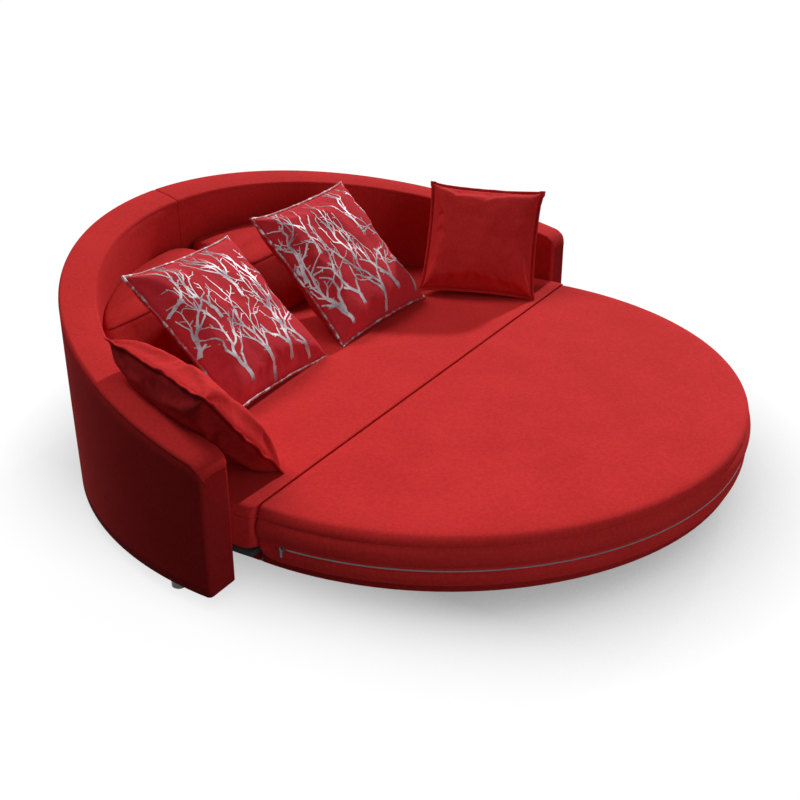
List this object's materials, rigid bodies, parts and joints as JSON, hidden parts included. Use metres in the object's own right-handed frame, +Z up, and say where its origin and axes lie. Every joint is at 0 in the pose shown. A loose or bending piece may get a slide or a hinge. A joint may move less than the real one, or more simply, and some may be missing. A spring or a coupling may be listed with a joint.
{
  "type": "round sofa bed",
  "caption": "Round sofa bed: a high curved back and arms around a seat, with a half-round bed section that rolls out, loose back cushions and scatter pillows.",
  "frame": {"origin": "middle of the footprint on the floor", "axes": "+X along the straight seam of seat and bed, to the right seen from the front; +Y to the high back; +Z up; the round front of the bed faces -Y"},
  "size_m": [2.49, 2.4325, 0.8121],
  "materials": {
    "black_board": "stained",
    "red_cloth": "matte brushed microfibre",
    "silver_print_cloth": "matte with silver foil print",
    "plywood": "raw",
    "timber": "raw",
    "chrome": "polished",
    "black_plastic": "matte",
    "wheel_plastic": "matte",
    "zinc": "zinc plated",
    "black_steel": "satin",
    "zip_tape": "woven",
    "zip_metal": "nickel"
  },
  "bodies": {
    "sofa": {"bottom_board_left": "plywood", "bottom_board_right": "plywood", "bracket_screws": "zinc", "end_board_left": "plywood", "end_board_right": "plywood", "front_board_left": "plywood", "front_board_right": "plywood", "guide_channel_left": "black_steel", "guide_channel_right": "black_steel", "joint_bolts": "zinc", "joint_nuts": "zinc", "leg_1": "chrome", "leg_2": "chrome", "leg_3": "chrome", "leg_4": "chrome", "leg_5": "chrome", "leg_6": "chrome", "leg_glides": "black_plastic", "leg_screws": "zinc", "rib_left_1": "plywood", "rib_left_2": "plywood", "rib_right_1": "plywood", "rib_right_2": "plywood", "seat_brackets": "zinc", "seat_fascia": "red_cloth", "seat_foot_left": "black_plastic", "seat_foot_right": "black_plastic", "seat_front_rail": "timber", "seat_mattress": "red_cloth", "seat_platform": "black_board", "seat_rail_1": "timber", "seat_rail_2": "timber", "seat_rail_3": "timber", "seat_rail_4": "timber", "shell_cover_left": "red_cloth", "shell_cover_right": "red_cloth", "top_rail_left": "plywood", "top_rail_right": "plywood"},
    "bed": {"bed_cross_tube_1": "black_steel", "bed_cross_tube_2": "black_steel", "bed_fascia": "red_cloth", "bed_mattress": "red_cloth", "bed_platform": "black_board", "bed_runner_left": "black_steel", "bed_runner_right": "black_steel", "castor_axles": "zinc", "castor_forks": "zinc", "zip_tape": "zip_tape"},
    "castor_wheel_1_body": {"castor_wheel_1": "wheel_plastic"},
    "castor_wheel_2_body": {"castor_wheel_2": "wheel_plastic"},
    "castor_wheel_3_body": {"castor_wheel_3": "wheel_plastic"},
    "castor_wheel_4_body": {"castor_wheel_4": "wheel_plastic"},
    "slider": {"zip_slider": "zip_metal"},
    "pull": {"zip_pull": "zip_metal"},
    "back_cushion_left_body": {"back_cushion_left": "red_cloth"},
    "back_cushion_right_body": {"back_cushion_right": "red_cloth"},
    "pillow_pattern_left_body": {"pillow_pattern_left": "silver_print_cloth"},
    "pillow_pattern_right_body": {"pillow_pattern_right": "silver_print_cloth"},
    "pillow_plain_left_body": {"pillow_plain_left": "red_cloth"},
    "pillow_plain_right_body": {"pillow_plain_right": "red_cloth"}
  },
  "joints": [
    {"name": "bed_slide", "type": "slide", "parent": "sofa", "child": "bed", "axis": [0, -1, 0], "range_m": [0, 0.4]},
    {"name": "castor_spin_1", "type": "hinge", "parent": "bed", "child": "castor_wheel_1_body", "pos_m": [-0.38, -0.836, 0.0375], "axis": [1, 0, 0], "continuous": true},
    {"name": "castor_spin_2", "type": "hinge", "parent": "bed", "child": "castor_wheel_2_body", "pos_m": [0.38, -0.836, 0.0375], "axis": [1, 0, 0], "continuous": true},
    {"name": "castor_spin_3", "type": "hinge", "parent": "bed", "child": "castor_wheel_3_body", "pos_m": [-0.7, -0.266, 0.0375], "axis": [1, 0, 0], "continuous": true},
    {"name": "castor_spin_4", "type": "hinge", "parent": "bed", "child": "castor_wheel_4_body", "pos_m": [0.7, -0.266, 0.0375], "axis": [1, 0, 0], "continuous": true},
    {"name": "zip_run", "type": "hinge", "parent": "bed", "child": "slider", "pos_m": [0, -0.116, 0.207], "axis": [0, 0, 1], "range_deg": [0, 166]},
    {"name": "pull_swing", "type": "hinge", "parent": "slider", "child": "pull", "pos_m": [-1.10105, -0.2081, 0.207], "axis": [-0.9965, -0.0834, 0], "range_deg": [-75, 75]},
    {"name": "back_cushion_left_lift", "type": "slide", "parent": "sofa", "child": "back_cushion_left_body", "axis": [0, 0, 1], "range_m": [0, 0.1]},
    {"name": "back_cushion_right_lift", "type": "slide", "parent": "sofa", "child": "back_cushion_right_body", "axis": [0, 0, 1], "range_m": [0, 0.1]},
    {"name": "pillow_pattern_left_lift", "type": "slide", "parent": "sofa", "child": "pillow_pattern_left_body", "axis": [0, 0, 1], "range_m": [0, 0.3]},
    {"name": "pillow_pattern_right_lift", "type": "slide", "parent": "sofa", "child": "pillow_pattern_right_body", "axis": [0, 0, 1], "range_m": [0, 0.3]},
    {"name": "pillow_plain_left_lift", "type": "slide", "parent": "sofa", "child": "pillow_plain_left_body", "axis": [0, 0, 1], "range_m": [0, 0.3]},
    {"name": "pillow_plain_right_lift", "type": "slide", "parent": "sofa", "child": "pillow_plain_right_body", "axis": [0, 0, 1], "range_m": [0, 0.3]}
  ]
}
